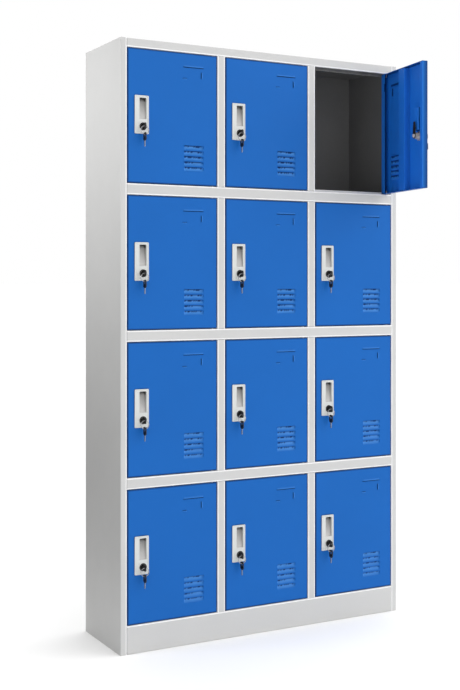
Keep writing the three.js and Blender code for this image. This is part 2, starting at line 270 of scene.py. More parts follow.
def painted_shade_marks(mesh, amount):
    """Marks where painted shade goes; amount(x, y, z) runs from 0 to 1."""
    marks = mesh.attributes.new("painted_shade", "FLOAT", "POINT").data
    for vert in mesh.vertices:
        marks[vert.index].value = clamp(amount(*vert.co))
    return mesh


def rounded_rect(cx, cz, width, height, radius, steps=4):
    """Points round a rectangle with rounded corners, anticlockwise from its lower right."""
    radius = min(radius, width / 2, height / 2)
    points = []
    for k, (sx, sz) in enumerate([(1, -1), (1, 1), (-1, 1), (-1, -1)]):
        x = cx + sx * (width / 2 - radius)
        z = cz + sz * (height / 2 - radius)
        for i in range(steps + 1):
            turn = radians(-90 + 90 * k + 90 * i / steps)
            points.append((x + radius * cos(turn), z + radius * sin(turn)))
    return points


def circle(cx, cz, radius, count=32, start=0.0):
    return [(cx + radius * cos(start + tau * i / count),
             cz + radius * sin(start + tau * i / count)) for i in range(count)]


def as_drawn(x, y, z):
    return (x, y, z)


def level(outline, y):
    """The points of an (x, z) outline at a depth y."""
    return [(x, y, z) for x, z in outline]


def offset(outline, distance):
    """An anticlockwise outline moved outward by distance, corner by corner."""
    moved = []
    for i, (x, z) in enumerate(outline):
        (ax, az), (bx, bz) = outline[i - 1], outline[(i + 1) % len(outline)]
        before = Vector((z - az, ax - x)).normalized()
        after = Vector((bz - z, x - bx)).normalized()
        way = (before + after).normalized()
        reach = distance / max(way.dot(after), 0.5)
        moved.append((x + way.x * reach, z + way.y * reach))
    return moved


def bent(corners, radii, bright, steps=4):
    """The arcs that round a profile's inner corners, each a list of (a, b, mark), where the mark is a painted
    highlight.

    A bright corner has a strip on either side of its arc where the painted highlight fades."""
    arcs = []
    for i, radius in enumerate(radii, 1):
        here = Vector(corners[i])
        back = (Vector(corners[i - 1]) - here).normalized()
        ahead = (Vector(corners[i + 1]) - here).normalized()
        half_angle = back.angle(ahead) / 2
        reach = radius / tan(half_angle)
        centre = here + (back + ahead).normalized() * (radius / sin(half_angle))
        start, end = here + back * reach - centre, here + ahead * reach - centre
        turn = copysign(pi - 2 * half_angle, start.x * end.y - start.y * end.x)
        worn_and_lit = i - 1 in bright
        arc = []
        for k in range(steps + 1):
            c, s = cos(turn * k / steps), sin(turn * k / steps)
            arc.append((centre.x + start.x * c - start.y * s,
                        centre.y + start.x * s + start.y * c, float(worn_and_lit)))
        if worn_and_lit:
            before, after = here + back * (reach + HIGHLIGHT_STRIP), here + ahead * (reach + HIGHLIGHT_STRIP)
            arc = [(*before, 0.0), *arc, (*after, 0.0)]
        arcs.append(arc)
    return arcs


def folded(build, corners, radii, low, high, place, areas=None, bright=()):
    """A sheet folded along parallel lines: the profile's corners run from low to high.

    place(a, b, v) puts a profile point in space. areas gives a flat strip its own outline and
    holes, in (distance from the strip's first corner, v). bright lists the corners that get a painted
    highlight."""
    areas = areas or {}
    arcs = bent(corners, radii, bright)
    for arc in arcs:
        build.loft([[place(a, b, low), place(a, b, high)] for a, b, _ in arc],
                   [w for _, _, w in arc], close=False)
    for k in range(len(corners) - 1):
        first, last = Vector(corners[k]), Vector(corners[k + 1])
        way = (last - first).normalized()
        start = (Vector(arcs[k - 1][-1][:2]) - first).length if k > 0 else 0.0
        end = (Vector(arcs[k][0][:2]) - first).length if k < len(arcs) else (last - first).length
        shape, holes = areas.get(k, (None, []))
        outline = shape(start, end) if shape else [(start, low), (end, low), (end, high), (start, high)]
        build.flat(outline, holes, lambda t, v: place(first.x + way.x * t, first.y + way.y * t, v))


def block(build, x0, x1, y0, y1, z0, z1, round_=0.4):
    """A bar with rounded edges, standing along Z."""
    cx, cy, w, d = (x0 + x1) / 2, (y0 + y1) / 2, x1 - x0, y1 - y0
    build.capped([[(x, y, z) for x, y in rounded_rect(cx, cy, w - 2 * inset, d - 2 * inset, round_, 2)]
                  for z, inset in ((z0, round_), (z0 + round_, 0), (z1 - round_, 0), (z1, round_))])


def lathe(build, profile, place, count=32):
    """A profile of (radius, distance) turned round the axis; place(u, v, distance) puts it."""
    loops = [[place(u, v, along) for u, v in circle(0, 0, radius, count)]
             for radius, along in profile if radius > ON_AXIS]
    build.loft(loops)
    for end, (radius, along) in ((loops[0], profile[0]), (loops[-1], profile[-1])):
        if radius <= ON_AXIS:
            centre = place(0, 0, along)
            build.add([centre, *end], [[0, 1 + i, 1 + (i + 1) % count] for i in range(count)])


def plate(build, outline, holes, thickness, place, edge=0.5, dish=None):
    """A flat plate with rounded edges. dish is (rim width, depth): both faces sink inside a rim.

    place(a, b, c) puts outline points a, b at a distance c from the plate's middle."""
    quarter = [pi / 2 * i / 3 for i in range(4)]
    levels = [(1, t) for t in quarter] + [(-1, t) for t in reversed(quarter)]
    flats = {1: [], -1: []}
    for n, rim in enumerate([outline, *(list(reversed(hole)) for hole in holes)]):
        build.loft([[place(a, b, side * (thickness / 2 - edge * (1 - cos(t))))
                     for a, b in offset(rim, -edge * (1 - sin(t)))] for side, t in levels],
                   [0, .7, 1, .4, .4, 1, .7, 0])
        inner = offset(rim, -edge)
        for side in (1, -1):
            flats[side].append(inner)
            if dish:
                margin = dish[0] / 2 if n else dish[0]
                steps = [(0, 0), (margin, 0), (margin + dish[1], dish[1])]
                build.loft([[place(a, b, side * (thickness / 2 - sink)) for a, b in offset(inner, -move)]
                            for move, sink in steps])
                flats[side][-1] = offset(inner, -steps[-1][0])
    for side in (1, -1):
        c = side * (thickness / 2 - (dish[1] if dish else 0))
        build.flat(flats[side][0], flats[side][1:], lambda a, b: place(a, b, c))


# ---- materials ----
def add_node(tree, kind, inputs=None, **settings):
    """A node; each of its inputs, by name or number, gets a value or another node's output."""
    made = tree.nodes.new("ShaderNode" + kind)
    for key, value in settings.items():
        setattr(made, key, value)
    for key, value in (inputs or {}).items():
        if isinstance(value, bpy.types.NodeSocket):
            tree.links.new(value, made.inputs[key])
        else:
            made.inputs[key].default_value = value
    return made


def maths(tree, operation, a, b, **settings):
    return add_node(tree, "Math", {0: a, 1: b}, operation=operation, **settings).outputs[0]


def new_material(name, values):
    """A material, its node tree and its shader, which has the values on its own sockets."""
    material = bpy.data.materials.new(name)
    material.use_nodes = True
    shader = material.node_tree.nodes["Principled BSDF"]
    for key, value in values.items():
        shader.inputs[key].default_value = value
    return material, material.node_tree, shader


NOISE_LOW, NOISE_HIGH = 0.3, 0.7  # the noise's usual span
APART = 7.0  # metres between two pieces in the noise
CLOUDS, FLECKS, GLOSS_PATCHES = 3.2, 420, 14  # noise scales, per metre
SHADE_PATCHES, WEAR_AND_HIGHLIGHT_PATCHES, SCRATCHES = 22, 35, 60
SCRATCH_STRETCH = (1.0, 1.0, 40.0)
GRAIN_HEIGHT = 0.0004


def finish(name, colour, roughness, metallic=0.0, grain=900, bump=0.12, mottle=0.04, edge=None,
           scratch=0.0, specular=0.5, shade_colour=None):
    """A finish with mottled colour, a fine grain and uneven gloss.

    edge is its colour where the wear and highlight mark is 1, partly wear and partly a painted highlight; the
    dark colour is the painted shade where the shade mark is 1."""
    material, tree, shader = new_material(name, {"Metallic": metallic, "Specular IOR Level": specular})
    chance = add_node(tree, "ObjectInfo").outputs["Random"]
    shift = add_node(tree, "VectorMath", {
        0: add_node(tree, "TexCoord").outputs["Object"],
        1: maths(tree, "MULTIPLY", chance, APART)}, operation="ADD").outputs[0]

    def noise(scale, detail=3.0, stretch=None):
        source = shift
        if stretch:
            source = add_node(tree, "Mapping", {"Scale": stretch, "Vector": shift}).outputs[0]
        return add_node(tree, "TexNoise", {
            "Scale": scale, "Detail": detail, "Roughness": 0.55, "Vector": source}).outputs["Fac"]

    def spanned(value, low, high):
        return add_node(tree, "MapRange", {
            "Value": value, "From Min": NOISE_LOW, "From Max": NOISE_HIGH,
            "To Min": low, "To Max": high}).outputs["Result"]

    def covered(under, over, mark, patches, least):
        """A colour laid over another where a mark is, a little unevenly."""
        amount = add_node(tree, "Attribute", attribute_name=mark).outputs["Fac"]
        share = maths(tree, "MULTIPLY", amount, spanned(noise(patches), least, 1.0))
        return add_node(tree, "Mix", {0: share, 6: under, 7: (*over, 1)},
                        data_type="RGBA").outputs[2]

    cloudy = spanned(noise(CLOUDS), 1 - mottle, 1 + mottle)
    flecked = spanned(noise(FLECKS, 2.0), 1 - mottle / 2, 1 + mottle / 2)
    shade = add_node(tree, "VectorMath", {
        0: colour, "Scale": maths(tree, "MULTIPLY", cloudy, flecked)}, operation="SCALE").outputs[0]
    # Painted shade: towards a dark copy of the colour where the shade mark is.
    shade = covered(shade, shade_colour or [0.06 * channel for channel in colour], "painted_shade", SHADE_PATCHES, 0.85)
    # Painted highlight, with some wear: the edge colour on marked folds.
    if edge:
        shade = covered(shade, edge, "wear_and_highlight", WEAR_AND_HIGHLIGHT_PATCHES, 0.75)
    gloss = spanned(noise(GLOSS_PATCHES, 4.0), roughness - 0.06, roughness + 0.07)
    if scratch:
        lines = spanned(noise(SCRATCHES, 2.0, SCRATCH_STRETCH), 1 - scratch, 1 + scratch)
        gloss = maths(tree, "MULTIPLY", gloss, lines)
    relief = add_node(tree, "Bump", {
        "Strength": bump, "Distance": GRAIN_HEIGHT, "Height": noise(grain, 2.0)}).outputs["Normal"]
    for socket, value in (("Base Color", shade), ("Roughness", gloss), ("Normal", relief)):
        tree.links.new(value, shader.inputs[socket])
    return material


# The pale edge colour on folds and lips is mostly a painted highlight, with some wear.
body_paint = finish("body_paint", (0.57, 0.57, 0.565), 0.46, edge=(0.93, 0.93, 0.93), mottle=0.02,
                    specular=0.3)
# A darker copy of the grey paint for the faces inside the compartments: painted shade.
inner_paint = finish("inner_paint", (0.185, 0.185, 0.186), 0.60, mottle=0.10, specular=0.2)
# The lighter edge colour is a painted highlight on the bends and louvre slopes; the dark colour is painted
# shade.
door_paint = finish("door_paint", (0.008, 0.121, 0.452), 0.44, edge=(0.085, 0.33, 0.83), mottle=0.03,
                    specular=0.12, shade_colour=(0.002, 0.032, 0.15))
# A lighter copy of the blue paint for the inside of the doors: painted light, with a painted highlight on its
# folds and painted shade where marked.
door_inside_painted_light = finish("door_inside_painted_light", (0.013, 0.185, 0.76), 0.46, edge=(0.04, 0.28, 0.90), mottle=0.03,
                     specular=0.20, shade_colour=(0.002, 0.042, 0.22))
plate_plastic = finish("plate_plastic", (0.63, 0.645, 0.635), 0.36, grain=1500, bump=0.06, mottle=0.015)
# A darker copy of the plate's plastic for the finger recess: painted shade.
cup_plastic_painted_shade = finish("cup_plastic_painted_shade", (0.52, 0.51, 0.5), 0.5, grain=1500, bump=0.06, mottle=0.02, specular=0.2)
key_plastic = finish("key_plastic", (0.007, 0.007, 0.008), 0.42, grain=1800, bump=0.15, mottle=0.15,
                     edge=(0.02, 0.02, 0.02), specular=0.35)
worked = {"grain": 600, "scratch": 0.25}
nut_metal = finish("nut_metal", (0.62, 0.59, 0.58), 0.40, metallic=0.4, mottle=0.05, **worked)
blade_metal = finish("blade_metal", (0.34, 0.35, 0.37), 0.40, metallic=0.5, mottle=0.05, **worked)
plated = finish("plated", (0.50, 0.50, 0.51), 0.24, metallic=0.8, bump=0.03, mottle=0.03, **worked)
# Its edge colour is a painted highlight where an edge is marked.
lock_face = finish("lock_face", (0.018, 0.018, 0.019), 0.34, metallic=0.4, bump=0.05, mottle=0.10,
                   edge=(0.5, 0.5, 0.5), specular=0.3, **worked)
steel = finish("steel", (0.46, 0.45, 0.44), 0.34, metallic=1.0, grain=700, bump=0.05, mottle=0.08,
               scratch=0.35)
black_steel = finish("black_steel", (0.035, 0.035, 0.037), 0.36, metallic=0.8, grain=700, bump=0.06,
                     mottle=0.15, edge=(0.16, 0.15, 0.14))


# ---- placing pieces ----
def piece(name, mesh, materials, body, nodes=(), place=None):
    """A piece that rides on a body. The mesh's millimetres become metres in its own vertices."""
    data = mesh.copy()
    data.name = name
    data.transform(Matrix.Scale(MM, 4))
    for material in materials:
        data.materials.append(material)
    made = added(name, data)
    made.matrix_world = place or Matrix.Translation((0, FRONT_Y * MM, 0))
    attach(made, body)
    if nodes:
        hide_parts(*nodes)
    return made


def in_compartment(centre, _):
    """Whether a face is inside the compartments, behind the front frame; these faces get the darker grey that
    is painted shade.
    """
    x, y, z = centre
    return (RETURN_DEPTH + 2 * SHEET < y < BACK_Y + SHEET / 2
            and abs(x) < HALF - SHEET / 2 and PLINTH_TOP < z < HEIGHT - SHEET / 2)


# ---- cabinet ----
def row_spans():
    """Lower and upper z of each row's opening, between the rails, from the bottom row up."""
    edges = [PLINTH_TOP, *(z for rail in sorted(shelf_levels) for z in rail), HEIGHT - TOP_RAIL]
    return list(zip(edges[::2], edges[1::2]))


def latch_lips(build, x0, x1):
    for low, high in row_spans():
        block(build, x0, x1, LATCH_LIP_Y, LATCH_LIP_Y + SHEET,
              low + RAIL_LIP + CLEARANCE, high - RAIL_LIP - CLEARANCE, 0.3)


def side_panel(side):
    build = Build()
    corners = [(side * (HALF - BACK_FLANGE), DEPTH), (side * HALF, DEPTH), (side * HALF, 0),
               (side * JAMB, 0), (side * JAMB, RETURN_DEPTH)]
    folded(build, corners, [BEND] * 3, 0, HEIGHT, as_drawn, bright=[2])
    mesh = finished(build.mesh("side", (side, 0, 0)), SHEET)
    extras = Build()
    block(extras, *sorted((side * (HALF - BACK_FLANGE), side * (HALF - SHEET))),
          FOOT_INSET, DEPTH - FOOT_INSET, 0, SHEET)
    if side < 0:
        latch_lips(extras, -JAMB - SHEET, -JAMB + LATCH_LIP)
    return joined(mesh, finished(extras.mesh("extras")))


def pin_holes(distance):
    """Holes for the hinge pins of every column, at a distance along a rail's fold."""
    return [circle(distance, x, PIN_HOLE, 20) for x in hinge_x]


def stepped(step, slots_from=None):
    """An outline as wide as the rail, and behind the step as wide as the space between the panels.

    From slots_from back it is slotted for the partitions."""
    def outline(start, end):
        slots = []
        for x in partition_x if slots_from else ():
            left, right = x - CLEARANCE, x + SHEET + CLEARANCE
            slots += [(end, left), (slots_from, left), (slots_from, right), (end, right)]
        return [(start, -RAIL_HALF), (step, -RAIL_HALF), (step, -INNER_HALF), (end, -INNER_HALF), *slots,
                (end, INNER_HALF), (step, INNER_HALF), (step, RAIL_HALF), (start, RAIL_HALF)]

    return outline


def wide_sheet(name, outward, corners, radii, areas, bright=()):
    """A sheet folded along the cabinet's width, between the jambs; corners are (y, z)."""
    build = Build()
    folded(build, corners, radii, -RAIL_HALF, RAIL_HALF, lambda y, z, x: (x, y, z), areas, bright)
    return finished(build.mesh(name, outward), SHEET)


def top_panel():
    lower = HEIGHT - TOP_RAIL
    corners = [(LIP_Y, lower - RAIL_LIP), (LIP_Y, lower), (0, lower), (0, HEIGHT),
               (DEPTH - SHEET - CLEARANCE, HEIGHT)]
    areas = {1: (None, pin_holes(LIP_Y - PIVOT_DEPTH)), 3: (stepped(BEND + CLEARANCE), [])}
    return wide_sheet("top", (0, 0, 1), corners, [INNER_BEND, BEND, BEND], areas, [1])


def plinth():
    corners = [(PLINTH_FOOT, 0), (0, 0), (0, PLINTH_TOP), (LIP_Y - CLEARANCE, PLINTH_TOP)]
    areas = {2: (None, pin_holes(PIVOT_DEPTH))}
    return wide_sheet("plinth", (0, -1, 0), corners, [BEND, BEND], areas, [1])


def bottom_panel():
    top, fold_y = PLINTH_TOP + RAIL_LIP, INNER_DEPTH - BOTTOM_INSET
    corners = [(LIP_Y, top - PANEL_FOLD), (LIP_Y, top), (fold_y, top)]
    mesh = wide_sheet("bottom", (0, 0, 1), corners, [BEND], {1: (stepped(STEP), [])})
    fold = Build()
    block(fold, -INNER_HALF, INNER_HALF, fold_y, fold_y + SHEET, top - PANEL_FOLD, top - 0.1)
    return joined(mesh, finished(fold.mesh("fold")))


def shelf(lower, upper):
    floor_z = upper + RAIL_LIP
    corners = [(LIP_Y, lower - RAIL_LIP), (LIP_Y, lower), (0, lower), (0, upper), (LIP_Y, upper),
               (LIP_Y, floor_z), (INNER_DEPTH, floor_z)]
    areas = {1: (None, pin_holes(LIP_Y - PIVOT_DEPTH)), 3: (None, pin_holes(PIVOT_DEPTH)),
             5: (stepped(STEP, SHELF_SLOT_END - LIP_Y), [])}
    return wide_sheet("shelf", (0, -1, 0), corners, [INNER_BEND, BEND, BEND, INNER_BEND, BEND], areas, [1, 2])


def partition(left):
    """The upright sheet, with the stile folded along its front edge between the rails."""
    build = Build()
    right = left + MID_STILE
    stile_depth = LIP_Y - CLEARANCE
    behind = RETURN_DEPTH + CLEARANCE
    outline = [(INNER_DEPTH, PLINTH_TOP + RAIL_LIP + CLEARANCE)]
    spans = row_spans()
    for n, (low, high) in enumerate(spans):
        low, high = low + CLEARANCE, high - CLEARANCE
        shelf_top = low + RAIL_LIP
        outline.append((behind, shelf_top))
        outline += [(stile_depth, shelf_top), (stile_depth, low), (BEND, low),
                    (BEND, high), (stile_depth, high), (stile_depth, high - RAIL_LIP)]
        if n < len(spans) - 1:
            above = spans[n + 1][0] + RAIL_LIP
            outline += [(behind, high - RAIL_LIP), (behind, above - SHEET - CLEARANCE),
                        (SHELF_SLOT_END, above - SHEET - CLEARANCE), (SHELF_SLOT_END, above + CLEARANCE)]
        folded(build, [(left, BEND), (left, 0), (right, 0), (right, stile_depth)], [BEND, BEND],
               low, high, as_drawn, bright=[0, 1])
    outline += [(behind, spans[-1][1] - RAIL_LIP), (behind, HEIGHT - SHEET - CLEARANCE),
                (INNER_DEPTH, HEIGHT - SHEET - CLEARANCE)]
    build.flat(outline, [], lambda y, z: (left, y, z))
    mesh = finished(build.mesh("partition", (0, -1, 0)), SHEET)
    lips = Build()
    latch_lips(lips, right - SHEET, right + LATCH_LIP)
    return joined(mesh, finished(lips.mesh("lips")))


def back_panel():
    build = Build()
    outline = rounded_rect(0, (HEIGHT + SHEET) / 2, 2 * INNER_HALF, HEIGHT - 2 * SHEET - 2 * CLEARANCE, 2, 3)
    plate(build, outline, [], SHEET, lambda x, z, c: (x, BACK_Y + SHEET / 2 + c, z), edge=0.3)
    return finished(build.mesh("back", (0, 1, 0)))


def on_lip(y, z):
    """Whether a point is on one of the lips behind a rail, which face forward."""
    rails = [*shelf_levels, (HEIGHT - TOP_RAIL, HEIGHT), (0, PLINTH_TOP)]
    return (RETURN_DEPTH - 2 * SHEET < y < RETURN_DEPTH + 2 * SHEET
            and not any(low - 1 < z < high + 1 for low, high in rails))


def return_painted_shade(x, y, z):
    """Painted shade on the folds behind the front frame, but not on the lips."""
    if abs(x) > HALF - 2 * SHEET or y > RETURN_DEPTH + SHEET or on_lip(y, z):
        return 0.0
    return 0.85 * clamp((y - 2) / 5)


# Painted highlight: the lips behind the rails get the full edge mark.
def highlighted_lips(mesh):
    marks = mesh.attributes["wear_and_highlight"].data
    for vert in mesh.vertices:
        if on_lip(vert.co.y, vert.co.z) and abs(vert.co.x) < HALF - 2 * SHEET:
            marks[vert.index].value = 1.0
    return mesh


cabinet_pieces = [
    ("side_left", side_panel(-1), "left_side_panel", "body_paint"),
    ("side_right", side_panel(1), "right_side_panel", "body_paint"),
    ("top_cover", top_panel(), "top_panel", "body_paint"),
    ("plinth_front", plinth(), "plinth", "body_paint"),
    ("floor_panel", bottom_panel(), "bottom_panel", "inner_paint"),
    ("rear_panel", back_panel(), "back_panel", "inner_paint"),
    *[(f"rail_shelf_{n + 1}", shelf(*shelf_levels[n]), f"shelf_{n + 1}", "body_paint") for n in range(3)],
    *[(f"stile_partition_{k + 1}", partition(partition_x[k]), f"partition_{k + 1}", "body_paint")
      for k in range(2)],
]
for name, mesh, node, slot in cabinet_pieces:
    # Inside the compartments the faces take the darker grey, painted shade; the lips get a painted highlight
    # and the folds behind the frame painted shade.
    mesh = painted_shade_marks(highlighted_lips(lined(mesh, in_compartment)), return_painted_shade)
    piece(name, mesh, [body_paint, inner_paint], "cabinet", [node])


# ---- doors, drawn closed from the hinge axis and the lower edge ----
PLATE_WIDTH, PLATE_HEIGHT, PLATE_THICKNESS = 46, 116, 3
PLATE_X = FREE_EDGE + 21.5 + PLATE_WIDTH / 2
PLATE_TOP = DOOR_HEIGHT - 141
PLATE_BACK = FACE_Y - CLEARANCE
PLATE_FRONT = PLATE_BACK - PLATE_THICKNESS
GROUND = PLATE_FRONT + 0.7  # the plate's face inside its raised border
BORDER = 3.3  # its width
PLATE_ROUND = 1.3  # radius round its outer edge
LOCK_X = FREE_EDGE + 48.5
LOCK_Z = PLATE_TOP - 93.5
RECESS_WIDTH, RECESS_HEIGHT, RECESS_DEPTH = 22, 64, 13
RECESS_TOP = PLATE_TOP - 7
RECESS_Z = RECESS_TOP - RECESS_HEIGHT / 2
POCKET = ((0, 5), (1.5, 4.4), (4, 2.4), (8, 0.8), (12, 0.2), (14, 0), (15, -1.3))  # depth and spread
HINGE_LIP, FREE_LIP = 25, 18
NOTCH, NOTCH_DEPTH = (DOOR_HEIGHT - 60, DOOR_HEIGHT - 33), 5
STIFFENER_WIDTH, STIFFENER_FOOT, STIFFENER_LEAN, STIFFENER_INSET = 42, 9, 1.5, 3
BARREL_RADIUS = 11.2
LOUVRE_SLOTS, LOUVRE_PITCH, LOUVRE_LOWEST = 5, 16.5, 51
LOUVRE_WIDTH, LOUVRE_HEIGHT, LOUVRE_DEPTH, LOUVRE_SLOT = 67, 9.5, 6.0, 4.8
LOUVRE_LEFT = PIVOT_INSET - 46 - LOUVRE_WIDTH
BAFFLE = 2.4  # how far a louvre's baffle goes on beyond its slot
BAFFLE_END = 1.5  # it meets the face's back this far beyond the slot's ends
TAB_HEIGHT = 2.0
TABS = (  # corner from the hinge side and the top, run, rise, length, width, slot, columns
    ((-115, -36), (1, 0), (0, -1), 69, 5.5, 2.4, 20),
    ((-48, -76), (0, 1), (-1, 0), 21, 5.0, 2.4, 10),
    ((-118, -83), (1, 0), (0, 1), 16, 5.0, 1.6, 8))
# The strips behind the tabs' slots are painted dark: painted shade.
BACKING = 2.8  # depth of the strips behind the tabs' slots
STRIPS = ((-117, -44, -45.5, -39.5), (-57, -50.5, -79, -53), (-120, -100, -80, -74))
FRAME_SHADE = 6.0  # how deep the painted shade next to the frame reaches
EDGE_STRIP = 2.6  # how far that painted shade fades out on the face, beyond the bend
QUARTER = [pi / 2 * i / 4 for i in range(5)]


def pressed(build, corner, run, rise, length, width, depth, slot, taper, columns=20, rows=6,
            baffle=0.0, worn_and_lit=1.0):
    """A form pressed in the face and torn along one side; depth is inward, or outward if negative.

    It rises from the corner's side, and its torn side runs along the slot. A baffle carries the
    sheet on behind the slot. Returns the hole that the flat face leaves for it."""
    corner, run, rise = Vector(corner), Vector(run), Vector(rise)

    def spot(p, q, deep=0.0):
        x, z = corner + run * p + rise * q
        return (x, FACE_Y + deep, z)

    def sunk(p, q):
        end, up = clamp(min(p, length - p) / taper), q / width
        return depth * (end * end * (3 - 2 * end)) * up * (1.6 - 0.6 * up)

    grid = [[(length * i / columns, width * j / rows) for i in range(columns + 1)] for j in range(rows + 1)]
    # The mark grows towards the torn side: a painted highlight on the slope.
    build.loft([[spot(p, q, sunk(p, q)) for p, q in line] for line in grid],
               [[worn_and_lit * (j / rows) * (0 < i < columns) for i in range(columns + 1)] for j in range(rows + 1)],
               close=False)
    if baffle:
        line = [(-BAFFLE_END, DOOR_SHEET), *((p, max(sunk(p, width), 2 * DOOR_SHEET)) for p, _ in grid[-1]),
                (length + BAFFLE_END, DOOR_SHEET)]
        build.loft([[spot(p, q, deep) for p, deep in line]
                    for q in (width, width + slot, width + slot + baffle)], close=False)
    rim = [*grid[0], *(line[-1] for line in grid[1:]), (length, width + slot), (0, width + slot),
           *(line[0] for line in reversed(grid[1:]))]
    return [spot(p, q)[::2] for p, q in rim]


def louvres(build):
    return [pressed(build, (LOUVRE_LEFT, LOUVRE_LOWEST + i * LOUVRE_PITCH - LOUVRE_HEIGHT), (1, 0), (0, 1),
                    LOUVRE_WIDTH, LOUVRE_HEIGHT, LOUVRE_DEPTH, LOUVRE_SLOT, taper=5.0, baffle=BAFFLE)
            for i in range(LOUVRE_SLOTS)]


def card_holder(build):
    """Three lanced tabs that hold a card: along its top, its right end and its lower left."""
    # The tabs' slopes get a weaker painted highlight.
    holes = [pressed(build, (PIVOT_INSET + x, DOOR_HEIGHT + z), run, rise, length, width, -TAB_HEIGHT, slot,
                     taper=4, columns=columns, rows=5, worn_and_lit=0.35)
             for (x, z), run, rise, length, width, slot, columns in TABS]
    for x0, x1, z0, z1 in STRIPS:
        build.upright([(PIVOT_INSET + x, DOOR_HEIGHT + z)
                       for x, z in ((x0, z0), (x1, z0), (x1, z1), (x0, z1))], [], FACE_Y + BACKING)
    return holes


def door_pan():
    build = Build()
    middle_x, middle_z = FREE_EDGE + DOOR_WIDTH / 2, DOOR_HEIGHT / 2
    low, high, rim_y = DOOR_BEND, DOOR_HEIGHT - DOOR_BEND, BACK_OF_PAN - DOOR_BEND

    def edge(grow, y):
        width, height = (size - 2 * DOOR_BEND + 2 * grow for size in (DOOR_WIDTH, DOOR_HEIGHT))
        return level(rounded_rect(middle_x, middle_z, width, height, max(grow, 1e-5)), y)

    loops = [edge(-EDGE_STRIP, FACE_Y)]
    loops += [edge(DOOR_BEND * sin(t), FACE_Y + DOOR_BEND * (1 - cos(t))) for t in QUARTER]
    # A faint painted highlight runs round the rounded edge.
    build.loft([*loops, [(x, rim_y, z) for x, _, z in loops[-1]]],
               [0, *(0.2 * sin(2 * t) for t in QUARTER), 0])
    pocket = rounded_rect(LOCK_X, RECESS_Z, RECESS_WIDTH + 6, RECESS_HEIGHT + 6, 3)
    build.loft([level(offset(pocket, spread), FACE_Y + deep) for deep, spread in POCKET])
    build.upright(offset(pocket, POCKET[-1][1]), [], FACE_Y + POCKET[-1][0])
    holes = [*louvres(build), *card_holder(build), offset(pocket, POCKET[0][1]),
             circle(LOCK_X, LOCK_Z, BARREL_RADIUS + 0.3)]
    inset = DOOR_BEND + EDGE_STRIP
    build.upright([(middle_x + sx * (DOOR_WIDTH / 2 - inset), middle_z + sz * (DOOR_HEIGHT / 2 - inset))
                   for sx, sz in ((-1, -1), (1, -1), (1, 1), (-1, 1))], holes, FACE_Y)
    # The folds to the side lips carry a painted highlight.
    for side, inward, lip, notches in ((FREE_EDGE, 1, FREE_LIP, []), (PIVOT_INSET, -1, HINGE_LIP, [NOTCH])):
        build.loft([[(side + inward * DOOR_BEND * (1 - cos(t)), rim_y + DOOR_BEND * sin(t), z)
                     for z in (low, high)] for t in QUARTER], [sin(2 * t) for t in QUARTER], close=False)
        outline = [(DOOR_BEND, low), (lip, low)]
        for z0, z1 in notches:
            outline += [(lip, z0), (lip - NOTCH_DEPTH, z0), (lip - NOTCH_DEPTH, z1), (lip, z1)]
        outline += [(lip, high), (DOOR_BEND, high)]
        build.upright([(side + inward * reach, z) for reach, z in outline], [], BACK_OF_PAN)
    for z in (0, DOOR_HEIGHT):
        build.loft([[(x, y, z) for x in (FREE_EDGE + DOOR_BEND, PIVOT_INSET - DOOR_BEND)]
                    for y in (rim_y, BACK_OF_PAN)], close=False)
    mesh = finished(build.mesh("pan", (0, -1, 0)), DOOR_SHEET)
    # The inner faces take the lighter blue, painted light; the louvres, tab strips and edges get painted
    # shade.
    return painted_shade_marks(lined(mesh, lambda centre, normal: normal.y > 0.3 and centre.y > FACE_Y + DOOR_SHEET / 2),
                  pan_painted_shade)


def pan_painted_shade(x, y, z):
    """Painted shade in the louvres, on the strips behind the tabs and on the edges next to the frame."""
    deep = y - FACE_Y
    if LOUVRE_LEFT < x < LOUVRE_LEFT + LOUVRE_WIDTH and z < LOUVRE_LOWEST + LOUVRE_SLOTS * LOUVRE_PITCH:
        if z > LOUVRE_LOWEST - LOUVRE_HEIGHT and deep < LOUVRE_DEPTH + 2 * DOOR_SHEET:
            return (deep - LOUVRE_DEPTH + 0.7) / 0.6
    if z > DOOR_HEIGHT - 90 and abs(deep - BACKING - DOOR_SHEET / 2) < DOOR_SHEET:
        return 1.0
    if deep < FRAME_SHADE:
        inset = min(z, DOOR_HEIGHT - z, PIVOT_INSET - x, x - FREE_EDGE)
        return (DOOR_BEND + EDGE_STRIP - inset) / EDGE_STRIP
    return 0.0


def stiffener():
    """The hat-shaped channel up the middle of the pan, with its feet on the face."""
    build = Build()
    middle, half = FREE_EDGE + DOOR_WIDTH / 2, STIFFENER_WIDTH / 2
    foot_y = FACE_Y + DOOR_SHEET + 0.1 + SHEET
    right = [(half + STIFFENER_FOOT, foot_y), (half + STIFFENER_LEAN, foot_y), (half, BACK_OF_PAN)]
    corners = [(middle + x, y) for x, y in right] + [(middle - x, y) for x, y in reversed(right)]
    folded(build, corners, [1.2, 2.0, 2.0, 1.2], STIFFENER_INSET, DOOR_HEIGHT - STIFFENER_INSET,
           as_drawn)
    # Painted shade on the wall that faces the free edge, darker towards the face.
    return painted_shade_marks(finished(build.mesh("stiffener", (0, 1, 0)), DOOR_SHEET),
                  lambda x, y, z: 0.35 * clamp((BACK_OF_PAN - y) / 10) * (x < middle))


def divided(outline, spacing):
    """An outline with points added along its long sides."""
    points = []
    for i, (x, z) in enumerate(outline):
        nx, nz = outline[(i + 1) % len(outline)]
        parts = max(1, round(hypot(nx - x, nz - z) / spacing))
        points += [(x + (nx - x) * k / parts, z + (nz - z) * k / parts) for k in range(parts)]
    return points


def recess_floor(z):
    """The recess is deepest at its top, where the fingers reach in."""
    return FACE_Y + RECESS_DEPTH - 2.0 - (RECESS_TOP - z) * (RECESS_DEPTH - 3.0) / RECESS_HEIGHT


